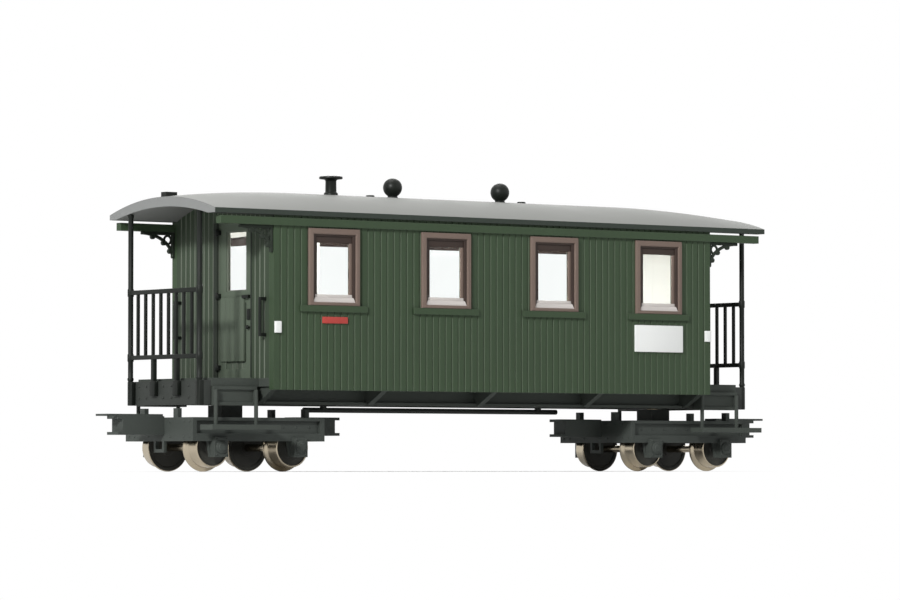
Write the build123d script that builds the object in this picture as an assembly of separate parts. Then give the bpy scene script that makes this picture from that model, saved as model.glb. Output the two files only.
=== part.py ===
from build123d import *
from math import atan2, cos, degrees, radians, sin
import os

os.makedirs("parts", exist_ok=True)

# Wheelsets for 9 mm track
BACK_TO_BACK = 7.4
WHEEL_WIDTH = 2.2
TREAD_R = 2.4
FLANGE_DEPTH = 0.5
FLANGE_WIDTH = 0.6
AXLE_R = 0.45
JOURNAL_PLAY = 0.06
JOURNAL_SIDES = 12
END_PLAY = 0.1

# Bogies
BOGIE_INSET = 0.45
WHEELBASE = 11.6
WHEEL_CLEAR = 0.5
FRAME_DEEP = 0.9
FRAME_WEB = 0.4
FRAME_FLANGE = 0.4
FRAME_FLANGE_LOW = 0.95
AXLEBOX_W = 1.9
AXLEBOX_DEEP = 1.4
AXLEBOX_BELOW = 1.15
AXLEBOX_ABOVE = 1.2
AXLE_COVER = 0.7
GUARD_TOP_W = 3.0
HEADSTOCK_PAST = 3.2
HEADSTOCK_T = 0.6
HEADSTOCK_POST_W = 0.9
HEADSTOCK_POST_Y = 3.6
HEADSTOCK_POST_CLEAR = 0.5
HANGING_LOOP_Y = 1.1
HANGING_LOOP_H = 1.35
HANGING_LOOP_BAR = 0.4
BOLSTER_W = 3.2
BOLSTER_H = 1.4
PIVOT_W = 3.0
PIVOT_GAP = 0.1
PIN_R = 0.8
PIN_HEAD_R = 1.4
PIN_HEAD_H = 0.3
COUPLER_OUT = 6.6
COUPLER_W = 2.4
COUPLER_PLATE = 0.35
COUPLER_UP = 0.75
COUPLER_RISE = 0.15
COUPLER_LIP = 0.7
COUPLER_PIN_R = 0.5
COUPLER_PIN_IN = 1.6
LINK_PAST = 1.6
LINK_L = 8.0
LINK_W = 2.4
LINK_T = 0.25
LINK_BAR = 0.45

# Heights, each from the one below it: rail top, bogie frame, underframe, floor, eaves
BOGIE_BOTTOM_H = 3.15
BOGIE_H = 2.85
PIVOT_RISE = 1.6
SOLEBAR_H = 2.1
FLOOR_T = 1.0
WALL_H = 19.5

# Body
BODY_L = 68.1
BODY_OVERHANG = 3.2
WALL_T = 1.0
WALL_DROP = 0.4
PLANK_PITCH = 0.99
GROOVE_W = 0.26
GROOVE_DEEP = 0.15

# Side windows: proud frames with a lower inner step, a sill board under each
WINDOW_N = 4
WINDOW_END = 8.7
FRAME_W = 7.5
FRAME_H = 9.3
FRAME_BELOW_EAVE = 1.4
FRAME_BAR = 0.95
FRAME_STEP = 0.5
FRAME_PROUD = 0.45
FRAME_STEP_PROUD = 0.25
SILL_PAST = 1.2
SILL_H = 0.8
SILL_PROUD = 0.3
PANE_T = 0.5
PANE_BACK = 0.25

# End walls and doors
DOOR_W = 7.05
DOOR_OFFSET = 2.55
DOOR_BELOW_EAVE = 0.6
DOOR_T = 0.7
DOOR_STILE = 1.4
DOOR_TOP_RAIL = 1.0
DOOR_PANE_H = 7.3
DOOR_FOOT_RAIL = 1.2
DOOR_PANEL_DEEP = 0.2

# Roof: one arc over the body, drooping to a flatter arc over the platforms
EAVE_OVERHANG = 0.475
EAVE_T = 0.6
CROWN_T = 1.2
ROOF_LIP = 0.1
ROOF_RISE = 2.8
ROOF_END_RISE = 1.75

# Cantrail boards that run on over the platforms, with a bracket under each free end
CANTRAIL_BELOW_EAVE = 0.3
CANTRAIL_H = 0.95
CANTRAIL_PROUD = 0.35
CANTRAIL_DEEP = 0.6
CANTRAIL_SHORT = 0.9
BRACKET_L = 4.8
BRACKET_H = 3.2
BRACKET_T = 0.5
BRACKET_BAR = 0.4
BRACKET_RING_R = 0.75
BRACKET_BOSS_R = 0.32
BRACKET_BOSS_DEG = (20, 45, 70)
BRACKET_CHORDS = 8

# End platforms
PLATFORM_L = 8.35
PLATFORM_INSET = 3.5
POST_W = 0.8
END_BEAM_T = 1.0
END_BEAM_BELOW = 0.1
END_BEAM_STEP = 0.3
TOP_RAIL_H = 10.5
LOW_RAIL_H = 2.6
RAIL_SIZE = 0.6
PICKET_N = 8
PICKET_W = 0.4
STAY_Y = 2.5
STAY_FOOT_W = 1.1
STAY_FOOT_H = 1.8

# Steps
STEP_FROM_WALL = 0.55
STEP_GAP = 0.1
STEP_OUT = 0.4
STEP_H = 2.3
STEP_PLATE = 0.4
STEP_PANEL_DEEP = 0.3
TREAD_UNDER_WALL = 1.05
TREAD_INSET = 0.1
TREAD_W = 2.6
TREAD_T = 0.6
TREAD_DROP = 2.9
HANGER_R = 0.25

# Handles
GRAB_INSET = 1.8
GRAB_BOTTOM_H = 5.2
GRAB_L = 4.3
GRAB_OUT = 0.8
GRAB_R = 0.2
LEVER_L = 1.1
LEVER_OUT = 0.4
LEVER_T = 0.2

# Seats
SEAT_DEEP = 3.8
SEAT_H = 3.8
SEAT_BACK_H = 8.0
SEAT_T = 0.5
SEAT_END_GAP = 0.5

# Underframe
SOLEBAR_IN = 0.7
SOLEBAR_W = 1.0
SOLEBAR_T = 0.35
GUSSET_T = 0.8
CROSS_T = 1.2
PIPE_Y = 3.0
PIPE_DROP = 0.5
PIPE_R = 0.32
PIPE_PAST = 3.0
PIPE_CLIP = 0.6

# Roof fittings
SEAT_IN = 0.5
CHIMNEY_PAST = 1.0
CHIMNEY_BASE_R = 0.88
CHIMNEY_BASE_H = 0.5
CHIMNEY_R = 0.7
CHIMNEY_H = 2.0
CHIMNEY_CAP_R = 1.47
CHIMNEY_CAP_H = 0.45
CHIMNEY_SIDES = 16
VENT_R = 1.2
VENT_H = 2.5
VENT_DEG = (-60, -25, 10, 45, 75)
VENT_SIDES = 12
PLUG_PAST = 3.45
PLUG_R = 0.55
PLUG_H = 0.25
LAMP_L = 1.6
LAMP_W = 1.1
LAMP_H = 0.6
LAMP_IN = 0.3

CUT = 1.0

# Levels: z = 0 is the lowest point of the wheel flanges
rail_z = FLANGE_DEPTH
axle_z = rail_z + TREAD_R
bogie_z = rail_z + BOGIE_BOTTOM_H
bogie_top_z = bogie_z + BOGIE_H
bolster_z = bogie_top_z - BOLSTER_H
solebar_z = bogie_top_z + PIVOT_RISE
deck_z = solebar_z + SOLEBAR_H
floor_z = deck_z + FLOOR_T
body_z = deck_z - WALL_DROP
eave_z = floor_z + WALL_H
ceiling_rise = ROOF_RISE + EAVE_T - CROWN_T
ceiling_end_rise = ROOF_END_RISE + EAVE_T - CROWN_T
ridge_z = eave_z + EAVE_T + ROOF_RISE
end_ridge_z = eave_z + EAVE_T + ROOF_END_RISE

# Plan: the body stands out past the axle boxes, the posts are set in from its sides
wheel_y0 = BACK_TO_BACK / 2
wheel_y1 = wheel_y0 + WHEEL_WIDTH
frame_y0 = wheel_y1 + WHEEL_CLEAR
frame_y1 = frame_y0 + FRAME_DEEP
box_y1 = frame_y0 + AXLEBOX_DEEP
axle_end = box_y1 - AXLE_COVER
half_l = BODY_L / 2
half_w = box_y1 + BODY_OVERHANG
inner_w = half_w - WALL_T
roof_half_w = half_w + EAVE_OVERHANG
post_x = half_l + PLATFORM_L
post_y = half_w - PLATFORM_INSET
roof_half_l = post_x + POST_W / 2 + ROOF_LIP
beam_x1 = post_x - POST_W / 2
beam_x0 = beam_x1 - END_BEAM_T
deck_half_w = post_y + POST_W / 2
bogie_x = half_l - BOGIE_INSET
window_pitch = (BODY_L - 2 * WINDOW_END) / (WINDOW_N - 1)
window_xs = [-half_l + WINDOW_END + i * window_pitch for i in range(WINDOW_N)]
pier_xs = [(a + b) / 2 for a, b in zip(window_xs, window_xs[1:])]


def block(x0, x1, y0, y1, z0, z1):
    middle = Pos((x0 + x1) / 2, (y0 + y1) / 2, (z0 + z1) / 2)
    return middle * Box(abs(x1 - x0), abs(y1 - y0), abs(z1 - z0))


def along_x(outline, x0, x1):
    return extrude(Plane.YZ.offset(x0) * outline, x1 - x0, dir=(1, 0, 0))


def along_y(outline, y0, y1):
    plane = Plane(origin=(0, y0, 0), x_dir=(1, 0, 0), z_dir=(0, -1, 0))
    return extrude(plane * outline, y1 - y0, dir=(0, 1, 0))


def along_z(outline, z0, z1):
    return extrude(Pos(0, 0, z0) * outline, z1 - z0, dir=(0, 0, 1))


def shape(*points):
    return Polygon(*points, align=None)


def rod(start, end, radius):
    way = Vector(*end) - Vector(*start)
    return extrude(Plane(origin=start, z_dir=way) * Circle(radius), way.length)


def wire(start, end, radius, sides=8, across=False):
    way = Vector(*end) - Vector(*start)
    return extrude(Plane(origin=start, z_dir=way) * RegularPolygon(radius, sides, major_radius=not across),
                   way.length)


def turned(*points):
    return revolve(shape(*points), Axis.Y)


def stack(x, z, sides, *rings):
    whole = []
    for (r0, h0), (r1, h1) in zip(rings, rings[1:]):
        lean = degrees(atan2(r0 - r1, h1 - h0))
        ring = Pos(x, 0, z + h0) * RegularPolygon(r0, sides, major_radius=False)
        whole.append(extrude(ring, h1 - h0, taper=lean))
    return whole[0] + whole[1:]


def flip(solid):
    return mirror(solid, Plane.XZ)


def turn_round(solid):
    return Rot(0, 0, 180) * solid


def four_corners(solid):
    near = [solid, mirror(solid, Plane.YZ)]
    return near + [flip(s) for s in near]


def save(name, *solids):
    whole = Compound(children=list(solids)) if len(solids) > 1 else solids[0]
    export_step(whole, f"parts/{name}.step")


def planks(start, end, face, back):
    count = round((end - start) / PLANK_PITCH)
    deep = GROOVE_DEEP if back > face else -GROOVE_DEEP
    points = [(start, back), (start, face)]
    for i in range(1, count):
        joint = start + (end - start) * i / count
        points += [(joint - GROOVE_W / 2, face), (joint, face + deep), (joint + GROOVE_W / 2, face)]
    return points + [(end, face), (end, back)]


def end_planks(start, end, face, back):
    return shape(*[(x, y) for y, x in planks(start, end, face, back)])


# Roof
def roof_section(x, rise, ceiling):
    top = eave_z + EAVE_T
    edges = [
        ThreePointArc((-roof_half_w, top), (0, top + rise), (roof_half_w, top)),
        Line((roof_half_w, top), (roof_half_w, eave_z)),
        Line((roof_half_w, eave_z), (inner_w, eave_z)),
        ThreePointArc((inner_w, eave_z), (0, eave_z + ceiling), (-inner_w, eave_z)),
        Line((-inner_w, eave_z), (-roof_half_w, eave_z)),
        Line((-roof_half_w, eave_z), (-roof_half_w, top)),
    ]
    return Plane.YZ.offset(x) * make_face(edges)


roof = extrude(roof_section(-half_l, ROOF_RISE, ceiling_rise), BODY_L, dir=(1, 0, 0))
roof_tip = loft([roof_section(half_l, ROOF_RISE, ceiling_rise),
                 roof_section(roof_half_l, ROOF_END_RISE, ceiling_end_rise)], ruled=True)
roof = roof + roof_tip + turn_round(roof_tip)
save("roof", roof)

# Side walls, window frames, panes and sill boards
frame_z1 = eave_z - FRAME_BELOW_EAVE
frame_z0 = frame_z1 - FRAME_H
clear_z0 = frame_z0 + FRAME_BAR
clear_z1 = frame_z1 - FRAME_BAR
side_wall = along_z(shape(*planks(-half_l, half_l, -half_w, -inner_w)), body_z, eave_z)
frames = []
panes = []
sills = []
for x in window_xs:
    x0, x1 = x - FRAME_W / 2, x + FRAME_W / 2
    clear_x0, clear_x1 = x0 + FRAME_BAR, x1 - FRAME_BAR
    opening = block(clear_x0, clear_x1, -half_w - CUT, -inner_w + CUT, clear_z0, clear_z1)
    step_room = block(clear_x0 - FRAME_STEP, clear_x1 + FRAME_STEP, -half_w - CUT, -half_w - FRAME_STEP_PROUD,
                      clear_z0 - FRAME_STEP, clear_z1 + FRAME_STEP)
    frame = block(x0, x1, -half_w - FRAME_PROUD, -half_w, frame_z0, frame_z1)
    pane_y = -inner_w - PANE_BACK
    side_wall -= opening
    frames.append(frame - step_room - opening)
    panes.append(block(clear_x0, clear_x1, pane_y - PANE_T, pane_y, clear_z0, clear_z1))
    sills.append(block(x0 - SILL_PAST, x1 + SILL_PAST, -half_w - SILL_PROUD, -half_w,
                       frame_z0 - SILL_H, frame_z0))
save("side_wall_near", side_wall)
save("side_wall_far", flip(side_wall))
save("window_frames_near", *frames)
save("window_frames_far", *[flip(s) for s in frames])
save("window_panes_near", *panes)
save("window_panes_far", *[flip(s) for s in panes])
save("sill_boards", *sills, *[flip(s) for s in sills])

# End walls: planked, with the arch of the ceiling on top and a door off the middle
gable = make_face([
    Line((-inner_w, floor_z), (inner_w, floor_z)),
    Line((inner_w, floor_z), (inner_w, eave_z)),
    ThreePointArc((inner_w, eave_z), (0, eave_z + ceiling_rise), (-inner_w, eave_z)),
    Line((-inner_w, eave_z), (-inner_w, floor_z)),
])
door_y0 = -DOOR_OFFSET - DOOR_W / 2
door_y1 = -DOOR_OFFSET + DOOR_W / 2
door_z1 = eave_z - DOOR_BELOW_EAVE
wall_x0, wall_x1 = -half_l, -half_l + WALL_T
end_wall = along_z(end_planks(-inner_w, inner_w, wall_x0, wall_x1), floor_z, ridge_z)
end_wall &= along_x(gable, wall_x0, wall_x1)
end_wall -= block(wall_x0 - CUT, wall_x1 + CUT, door_y0, door_y1, floor_z - CUT, door_z1)
save("end_wall_left", end_wall)
save("end_wall_right", turn_round(end_wall))

# Doors: a pane above, a sunk planked panel below
door_x0 = wall_x1 - DOOR_T
panel_y0, panel_y1 = door_y0 + DOOR_STILE, door_y1 - DOOR_STILE
pane_z1 = door_z1 - DOOR_TOP_RAIL
pane_z0 = pane_z1 - DOOR_PANE_H
panel_z0, panel_z1 = floor_z + DOOR_FOOT_RAIL, pane_z0 - DOOR_STILE
door = block(door_x0, wall_x1, door_y0, door_y1, floor_z, door_z1)
for z0, z1 in ((panel_z0, panel_z1), (pane_z0, pane_z1)):
    door -= block(door_x0 - CUT, wall_x1 + CUT, panel_y0, panel_y1, z0, z1)
door += along_z(end_planks(panel_y0, panel_y1, door_x0 + DOOR_PANEL_DEEP, wall_x1), panel_z0, panel_z1)
pane_x1 = wall_x1 - (DOOR_T - PANE_T) / 2
door_pane = block(pane_x1 - PANE_T, pane_x1, panel_y0, panel_y1, pane_z0, pane_z1)
save("end_door_left", door)
save("end_door_right", turn_round(door))
save("door_panes", door_pane, turn_round(door_pane))

# Cantrail boards, deeper where they run on over the platforms
board_x = roof_half_l - CANTRAIL_SHORT
board_y0, board_y1 = -half_w - CANTRAIL_PROUD, -half_w + CANTRAIL_DEEP
board_z1 = eave_z - CANTRAIL_BELOW_EAVE
board_z0 = board_z1 - CANTRAIL_H
board = block(-board_x, board_x, board_y0, -half_w, board_z0, board_z1)
for side in (-1, 1):
    board += block(side * half_l, side * board_x, board_y0, board_y1, board_z0, board_z1)
save("cantrail_boards", board, flip(board))

# Scroll brackets: a curved brace with bosses and a ring between the wall and the board
corner_x, corner_z = -half_l, board_z0
brace_x, brace_z = corner_x - BRACKET_L, corner_z - BRACKET_H
inner_l, inner_h = BRACKET_L - BRACKET_BAR, BRACKET_H - BRACKET_BAR
turns = [radians(90 * i / BRACKET_CHORDS) for i in range(BRACKET_CHORDS + 1)]
outer_curve = [(brace_x + BRACKET_L * cos(a), brace_z + BRACKET_H * sin(a)) for a in turns]
inner_curve = [(brace_x + inner_l * cos(a), brace_z + inner_h * sin(a)) for a in turns]
bracket = shape(*outer_curve, *reversed(inner_curve))
for turn in map(radians, BRACKET_BOSS_DEG):
    boss = Pos(brace_x + inner_l * cos(turn), brace_z + inner_h * sin(turn))
    bracket += boss * RegularPolygon(BRACKET_BOSS_R, 8)
bracket += shape((corner_x, corner_z), (brace_x, corner_z), (brace_x, corner_z - BRACKET_BAR),
                 (corner_x - BRACKET_BAR, corner_z - BRACKET_BAR), (corner_x - BRACKET_BAR, brace_z),
                 (corner_x, brace_z))
ring = RegularPolygon(BRACKET_RING_R, 12) - RegularPolygon(BRACKET_RING_R - BRACKET_BAR, 12)
bracket += Pos(corner_x - BRACKET_RING_R, corner_z - BRACKET_RING_R) * ring
save("scroll_brackets", *four_corners(along_y(bracket, board_y1 - BRACKET_T, board_y1)))

# Floor: wide between the walls, narrow under the platforms
floor = block(-half_l, half_l, -inner_w, inner_w, deck_z, floor_z)
floor += block(-beam_x0, beam_x0, -deck_half_w, deck_half_w, deck_z, floor_z)
save("floor", floor)

# Seats along both walls
seat_x = half_l - WALL_T - SEAT_END_GAP
seat_y = -inner_w + SEAT_DEEP
seat_z = floor_z + SEAT_H
seat = along_x(shape((seat_y, floor_z), (seat_y, seat_z), (-inner_w + SEAT_T, seat_z),
                     (-inner_w + SEAT_T, floor_z + SEAT_BACK_H), (-inner_w, floor_z + SEAT_BACK_H),
                     (-inner_w, seat_z - SEAT_T), (seat_y - SEAT_T, seat_z - SEAT_T),
                     (seat_y - SEAT_T, floor_z)), -seat_x, seat_x)
save("seats", seat, flip(seat))

# Underframe: channel solebars, cross members and outriggers under the walls
bar_y1 = post_y - SOLEBAR_IN
bar_y0 = bar_y1 - SOLEBAR_W
web_y = bar_y0 + SOLEBAR_T
solebar = along_x(shape((-bar_y0, solebar_z), (-bar_y0, deck_z), (-bar_y1, deck_z),
                        (-bar_y1, deck_z - SOLEBAR_T), (-web_y, deck_z - SOLEBAR_T),
                        (-web_y, solebar_z + SOLEBAR_T), (-bar_y1, solebar_z + SOLEBAR_T),
                        (-bar_y1, solebar_z)), -beam_x0, beam_x0)
underframe = solebar + flip(solebar)
CROSS_TABLE = [
    # place along the coach, width
    (-bogie_x, BOLSTER_W),
    (pier_xs[0], CROSS_T),
    (pier_xs[-1], CROSS_T),
    (bogie_x, BOLSTER_W),
]
for x, wide in CROSS_TABLE:
    underframe += block(x - wide / 2, x + wide / 2, -bar_y0, bar_y0, solebar_z, deck_z)
gusset = shape((-web_y, solebar_z), (-web_y, deck_z), (-inner_w, deck_z), (-inner_w, body_z),
               (-bar_y1, solebar_z))
for x in [-half_l + GUSSET_T, *pier_xs, half_l - GUSSET_T]:
    outrigger = along_x(gusset, x - GUSSET_T / 2, x + GUSSET_T / 2)
    underframe += outrigger + flip(outrigger)
save("underframe", underframe)

# Pipe under the floor, clipped to the middle cross members
pipe_z = solebar_z - PIPE_DROP
pipe = wire((pier_xs[0] - PIPE_PAST, PIPE_Y, pipe_z), (pier_xs[-1] + PIPE_PAST, PIPE_Y, pipe_z), PIPE_R)
for x in (pier_xs[0], pier_xs[-1]):
    pipe += block(x - PIPE_CLIP / 2, x + PIPE_CLIP / 2, PIPE_Y - PIPE_CLIP / 2, PIPE_Y + PIPE_CLIP / 2,
                  pipe_z, solebar_z)
save("under_floor_pipe", pipe)

# End beams, and railings that stand against their outer faces
beam_z0, beam_z1 = solebar_z - END_BEAM_BELOW, floor_z - END_BEAM_STEP
end_beam = block(-beam_x1, -beam_x0, -deck_half_w, deck_half_w, beam_z0, beam_z1)
save("end_beams", end_beam, turn_round(end_beam))

rail_x0, rail_x1 = -beam_x1 - RAIL_SIZE, -beam_x1
low_z, top_z = floor_z + LOW_RAIL_H, floor_z + TOP_RAIL_H
post = block(-beam_x1 - POST_W, -beam_x1, -post_y - POST_W / 2, -post_y + POST_W / 2, beam_z0, ridge_z)
railing = post + flip(post)
for z in (low_z, top_z):
    railing += block(rail_x0, rail_x1, -post_y, post_y, z - RAIL_SIZE / 2, z + RAIL_SIZE / 2)
for i in range(1, PICKET_N + 1):
    y = post_y * (2 * i / (PICKET_N + 1) - 1)
    railing += block(rail_x0 + RAIL_SIZE / 2 - PICKET_W / 2, rail_x1 - RAIL_SIZE / 2 + PICKET_W / 2,
                     y - PICKET_W / 2, y + PICKET_W / 2, low_z, top_z)
STAY_TABLE = [
    # place across the coach, width, bottom, top
    (STAY_Y, RAIL_SIZE, beam_z1, low_z),
    (STAY_Y, STAY_FOOT_W, beam_z1 - STAY_FOOT_H, beam_z1),
    (deck_half_w - STAY_FOOT_W / 2, STAY_FOOT_W, beam_z0, beam_z1),
]
for across, wide, z0, z1 in STAY_TABLE:
    for y in (-across, across):
        railing += block(rail_x0, rail_x1, y - wide / 2, y + wide / 2, z0, z1)
above_ceiling = make_face([
    ThreePointArc((-inner_w, eave_z), (0, eave_z + ceiling_end_rise), (inner_w, eave_z)),
    Line((inner_w, eave_z), (inner_w, ridge_z + CUT)),
    Line((inner_w, ridge_z + CUT), (-inner_w, ridge_z + CUT)),
    Line((-inner_w, ridge_z + CUT), (-inner_w, eave_z)),
])
railing -= along_x(above_ceiling, -post_x - POST_W, -post_x + POST_W)
save("railing_left", railing)
save("railing_right", turn_round(railing))

# Steps: an upper box under the edge of the deck and a lower tread on two hangers
step_x0, step_x1 = half_l + STEP_FROM_WALL, beam_x0 - STEP_GAP
step_y0, step_y1 = bar_y1 + STEP_GAP, deck_half_w + STEP_OUT
step_z0 = deck_z - STEP_H
tread_x0, tread_x1 = half_l - TREAD_UNDER_WALL, post_x + POST_W / 2
tread_y1 = half_w - TREAD_INSET
tread_z = step_z0 - TREAD_DROP
step = block(-step_x1, -step_x0, -step_y1, -step_y0, step_z0, deck_z)
step -= block(-step_x1 + STEP_PLATE, -step_x0 - STEP_PLATE, -step_y1 - CUT, -step_y1 + STEP_PANEL_DEEP,
              step_z0 + STEP_PLATE, deck_z - STEP_PLATE)
step += block(-tread_x1, -tread_x0, -tread_y1, -tread_y1 + TREAD_W, tread_z, tread_z + TREAD_T)
hanger_y = -step_y1 - HANGER_R / 2
for x in (-step_x1 + HANGER_R, -step_x0 - HANGER_R):
    step += wire((x, hanger_y, tread_z + TREAD_T / 2), (x, hanger_y, deck_z - STEP_PLATE), HANGER_R)
save("steps", *four_corners(step))

# Handles: grab rails beside the platform openings and a lever on each door
grab_x, grab_y = -half_l - GRAB_OUT, -half_w + GRAB_INSET
grab_z0 = floor_z + GRAB_BOTTOM_H
grab_z1 = grab_z0 + GRAB_L
grab = wire((grab_x, grab_y, grab_z0 - GRAB_R), (grab_x, grab_y, grab_z1 + GRAB_R), GRAB_R)
for z in (grab_z0, grab_z1):
    grab += block(grab_x, -half_l, grab_y - GRAB_R, grab_y + GRAB_R, z - GRAB_R, z + GRAB_R)
lever_x = door_x0 - LEVER_OUT
lever_y = door_y0 + DOOR_STILE / 2
lever_z0, lever_z1 = pane_z0 - DOOR_STILE / 2 - LEVER_T, pane_z0 - DOOR_STILE / 2 + LEVER_T
lever = block(lever_x, door_x0, lever_y - LEVER_T, lever_y + LEVER_T, lever_z0, lever_z1)
lever += block(lever_x, lever_x + LEVER_T, lever_y - LEVER_T, lever_y + LEVER_L, lever_z0, lever_z1)
save("handles", *four_corners(grab), lever, turn_round(lever))

# Chimney, ball ventilators, plugs and a lamp bracket on the roof
chimney_x = pier_xs[0] - CHIMNEY_PAST
chimney = stack(chimney_x, ridge_z, CHIMNEY_SIDES, (CHIMNEY_BASE_R, -SEAT_IN),
                (CHIMNEY_BASE_R, CHIMNEY_BASE_H))
chimney += stack(chimney_x, ridge_z, CHIMNEY_SIDES, (CHIMNEY_R, 0), (CHIMNEY_R, CHIMNEY_H))
chimney += stack(chimney_x, ridge_z, CHIMNEY_SIDES, (CHIMNEY_CAP_R, CHIMNEY_H),
                 (CHIMNEY_CAP_R, CHIMNEY_H + CHIMNEY_CAP_H))
save("chimney", chimney - roof)

ball = [(VENT_R * cos(a), VENT_H - VENT_R + VENT_R * sin(a)) for a in map(radians, VENT_DEG)]
fittings = []
for x, way in ((window_xs[1], -1), (window_xs[-2], 1)):
    vent = stack(x, ridge_z, VENT_SIDES, (ball[0][0], -SEAT_IN), *ball)
    plug = stack(x + way * PLUG_PAST, ridge_z, VENT_SIDES, (PLUG_R, -SEAT_IN), (PLUG_R, PLUG_H))
    fittings += [vent - roof, plug - roof]
save("roof_vents", *fittings)

lamp_x = -roof_half_l + LAMP_IN
lamp_bracket = block(lamp_x, lamp_x + LAMP_L, -LAMP_W / 2, LAMP_W / 2,
                     end_ridge_z - SEAT_IN, end_ridge_z + LAMP_H)
save("lamp_bracket", lamp_bracket - roof)

# Pivot pins: fixed under the coach, each turns in a bogie bolster
head_z = bolster_z - PIVOT_GAP
pin = rod((-bogie_x, 0, head_z), (-bogie_x, 0, solebar_z), PIN_R)
pin += wire((-bogie_x, 0, head_z - PIN_HEAD_H), (-bogie_x, 0, head_z), PIN_HEAD_R)
save("pivot_pins", pin, turn_round(pin))

# Bogie, drawn about its own centre
head_x0 = WHEELBASE / 2 + HEADSTOCK_PAST
head_x1 = head_x0 + HEADSTOCK_T
box_z0, box_z1 = axle_z - AXLEBOX_BELOW, axle_z + AXLEBOX_ABOVE
flange_z0, flange_z1 = bogie_z + FRAME_FLANGE_LOW, bogie_top_z - FRAME_FLANGE
web_y1 = frame_y0 + FRAME_WEB
side_frame = along_x(shape((-frame_y0, bogie_z), (-frame_y0, bogie_top_z), (-frame_y1, bogie_top_z),
                           (-frame_y1, flange_z1), (-web_y1, flange_z1), (-web_y1, flange_z0),
                           (-frame_y1, flange_z0), (-frame_y1, bogie_z)), -head_x0, head_x0)
for x in (-WHEELBASE / 2, WHEELBASE / 2):
    guard = shape((x - GUARD_TOP_W / 2, flange_z0), (x + GUARD_TOP_W / 2, flange_z0),
                  (x + AXLEBOX_W / 2, box_z0), (x - AXLEBOX_W / 2, box_z0))
    side_frame += along_y(guard, -web_y1, -frame_y0)
    side_frame += block(x - AXLEBOX_W / 2, x + AXLEBOX_W / 2, -box_y1, -frame_y0, box_z0, box_z1)
    side_frame -= wire((x, -frame_y0 + CUT, axle_z), (x, -axle_end - END_PLAY, axle_z), AXLE_R + JOURNAL_PLAY,
                       JOURNAL_SIDES, across=True)

headstock = block(head_x0, head_x1, -frame_y1, frame_y1, bogie_z, bogie_top_z)
for y in (-HEADSTOCK_POST_Y, HEADSTOCK_POST_Y):
    headstock += block(head_x0, head_x1, y - HEADSTOCK_POST_W / 2, y + HEADSTOCK_POST_W / 2, bogie_top_z,
                       solebar_z - HEADSTOCK_POST_CLEAR)
loop_z = bogie_z - HANGING_LOOP_H
loop_x = head_x1 - HANGING_LOOP_BAR
headstock += block(loop_x, head_x1, -HANGING_LOOP_Y, HANGING_LOOP_Y, loop_z, bogie_z)
headstock -= block(loop_x - CUT, head_x1 + CUT, -HANGING_LOOP_Y + HANGING_LOOP_BAR,
                   HANGING_LOOP_Y - HANGING_LOOP_BAR, loop_z + HANGING_LOOP_BAR, bogie_z)

bolster = block(-BOLSTER_W / 2, BOLSTER_W / 2, -frame_y0, frame_y0, bolster_z, bogie_top_z)
bolster += block(-PIVOT_W / 2, PIVOT_W / 2, -PIVOT_W / 2, PIVOT_W / 2, bogie_top_z, solebar_z - PIVOT_GAP)
bolster -= rod((0, 0, bolster_z - CUT), (0, 0, solebar_z + CUT), PIN_R + JOURNAL_PLAY)

coupler_x = head_x1 + COUPLER_OUT
coupler_z = bogie_z + COUPLER_UP
coupler_top_z = bogie_top_z + COUPLER_RISE
pin_x = coupler_x - COUPLER_PIN_IN
inner_coupler = block(head_x1, coupler_x, -COUPLER_W / 2, COUPLER_W / 2, coupler_z, coupler_top_z)
inner_coupler -= block(coupler_x - COUPLER_LIP, coupler_x + CUT, -COUPLER_W, COUPLER_W,
                       coupler_z + COUPLER_PLATE, coupler_top_z - COUPLER_PLATE)
pin_hole = rod((pin_x, 0, coupler_z - CUT), (pin_x, 0, coupler_top_z + CUT), COUPLER_PIN_R)
outer_coupler = inner_coupler - pin_hole

link_x1 = coupler_x + LINK_PAST
link_x0 = link_x1 - LINK_L
link = block(link_x0, link_x1, -LINK_W / 2, LINK_W / 2, coupler_top_z, coupler_top_z + LINK_T)
link -= block(link_x0 + LINK_BAR, link_x1 - LINK_BAR, -LINK_W / 2 + LINK_BAR, LINK_W / 2 - LINK_BAR,
              coupler_top_z - CUT, coupler_top_z + CUT)

# Wheelset, drawn about the middle of its axle
axle = rod((0, -axle_end, 0), (0, axle_end, 0), AXLE_R)
flange_y = wheel_y0 + FLANGE_WIDTH
wheel = turned((AXLE_R, wheel_y0), (TREAD_R + FLANGE_DEPTH, wheel_y0), (TREAD_R + FLANGE_DEPTH, flange_y),
               (TREAD_R, flange_y), (TREAD_R, wheel_y1), (AXLE_R, wheel_y1))

BOGIE_TABLE = [
    # name, place along the coach, turn
    ("left", -bogie_x, 180),
    ("right", bogie_x, 0),
]
for name, x, turn in BOGIE_TABLE:
    place = Pos(x, 0, 0) * Rot(0, 0, turn)
    save(f"bogie_{name}_side_frames", place * side_frame, place * flip(side_frame))
    save(f"bogie_{name}_headstocks", place * headstock, place * turn_round(headstock))
    save(f"bogie_{name}_bolster", place * bolster)
    save(f"bogie_{name}_couplers", place * outer_coupler, place * turn_round(inner_coupler))
    save(f"bogie_{name}_link", place * link)
    for end, axle_x in (("outer", WHEELBASE / 2), ("inner", -WHEELBASE / 2)):
        spot = place * Pos(axle_x, 0, axle_z)
        save(f"axle_{name}_{end}", spot * axle)
        save(f"wheels_{name}_{end}", spot * wheel, spot * flip(wheel))
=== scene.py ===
import math

import bmesh
import bpy
from mathutils import Matrix, Vector


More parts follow.
